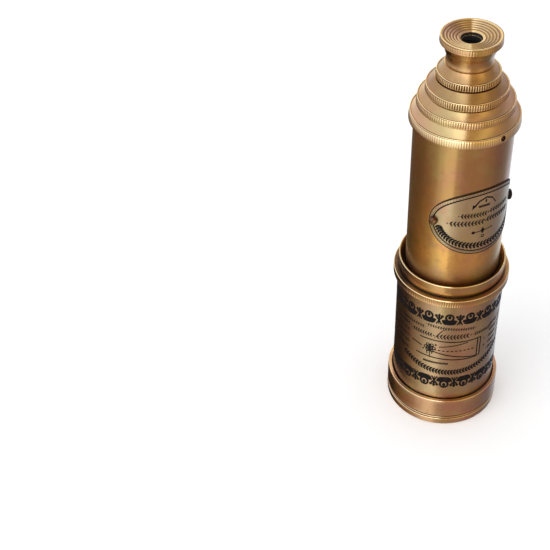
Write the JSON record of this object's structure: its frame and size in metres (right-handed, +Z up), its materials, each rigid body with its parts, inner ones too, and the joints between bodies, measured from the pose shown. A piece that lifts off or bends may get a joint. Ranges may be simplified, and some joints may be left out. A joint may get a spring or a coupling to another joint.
{
  "type": "three-draw pocket telescope",
  "caption": "Antique-brass draw telescope, closed and upright: nested draw tubes with milled collars, oval plate, engraved sliding sunshade and push-in dust cap.",
  "frame": {"origin": "centre of the dust cap's flat underside, which is the bottom centre of the bounding box", "axes": "+Z up along the optical axis towards the eyepiece; -Y faces the viewer's side between the plate's screws, +X to the viewer's right"},
  "size_m": [0.0404, 0.0404, 0.1524],
  "materials": {
    "aged_brass": "antique brass, brushed round the tube, worn bright on the milled edges",
    "etched_brass": "antique brass with black-filled etched ornament bands",
    "plate_brass": "satin brass plate with black-filled engraved border and ornament",
    "screw_brass": "darkened copper-brown screws",
    "blackened_brass": "matt black lacquer inside the optical tubes",
    "optical_glass": "polished optical glass",
    "felt": "dark felt lining"
  },
  "bodies": {
    "barrel": {"barrel_tube": "aged_brass", "barrel_collar": "aged_brass", "barrel_slip_bush": "aged_brass", "collar_grub_screw": "screw_brass", "name_plate": "plate_brass", "plate_screw_left": "screw_brass", "plate_screw_right": "screw_brass", "objective_cell": "aged_brass", "objective_crown_lens": "optical_glass", "objective_flint_lens": "optical_glass", "objective_retaining_ring": "blackened_brass"},
    "sunshade": {"shade_sleeve": "etched_brass", "shade_end_ring": "aged_brass", "shade_flange_ring": "aged_brass", "shade_collar": "aged_brass", "shade_felt_lining": "felt"},
    "dust_cap": {"dust_cap": "aged_brass"},
    "draw_1": {"draw_1_tube": "aged_brass", "draw_1_collar": "aged_brass", "draw_1_slip_bush": "aged_brass", "draw_1_stop_ring": "aged_brass", "draw_1_baffle": "blackened_brass"},
    "draw_2": {"draw_2_tube": "aged_brass", "draw_2_collar": "aged_brass", "draw_2_slip_bush": "aged_brass", "draw_2_stop_ring": "aged_brass", "draw_2_baffle": "blackened_brass"},
    "draw_3": {"draw_3_tube": "aged_brass", "draw_3_stop_ring": "aged_brass", "erector_tube": "blackened_brass", "erector_front_ring": "blackened_brass", "erector_front_lens": "optical_glass", "erector_aperture": "blackened_brass", "erector_rear_lens": "optical_glass", "erector_rear_ring": "blackened_brass"},
    "eyepiece": {"eyepiece_base": "aged_brass", "eyecup": "aged_brass", "eye_tube": "blackened_brass", "field_lens_ring": "blackened_brass", "field_lens": "optical_glass", "field_stop": "blackened_brass", "eye_lens": "optical_glass", "eye_lens_ring": "blackened_brass"}
  },
  "joints": [
    {"name": "draw_1_slide", "type": "slide", "parent": "barrel", "child": "draw_1", "axis": [0, 0, 1], "range_m": [0, 0.083]},
    {"name": "draw_2_slide", "type": "slide", "parent": "draw_1", "child": "draw_2", "axis": [0, 0, 1], "range_m": [0, 0.0815]},
    {"name": "draw_3_slide", "type": "slide", "parent": "draw_2", "child": "draw_3", "axis": [0, 0, 1], "range_m": [0, 0.079]},
    {"name": "sunshade_slide", "type": "slide", "parent": "barrel", "child": "sunshade", "axis": [0, 0, -1], "range_m": [0, 0.035]},
    {"name": "dust_cap_pull", "type": "slide", "parent": "sunshade", "child": "dust_cap", "axis": [0, 0, -1], "range_m": [0, 0.012]},
    {"name": "eyepiece_unscrew", "type": "hinge", "parent": "draw_3", "child": "eyepiece", "pos_m": [0, 0, 0.1384], "axis": [0, 0, 1], "range_deg": [0, 1800]}
  ]
}
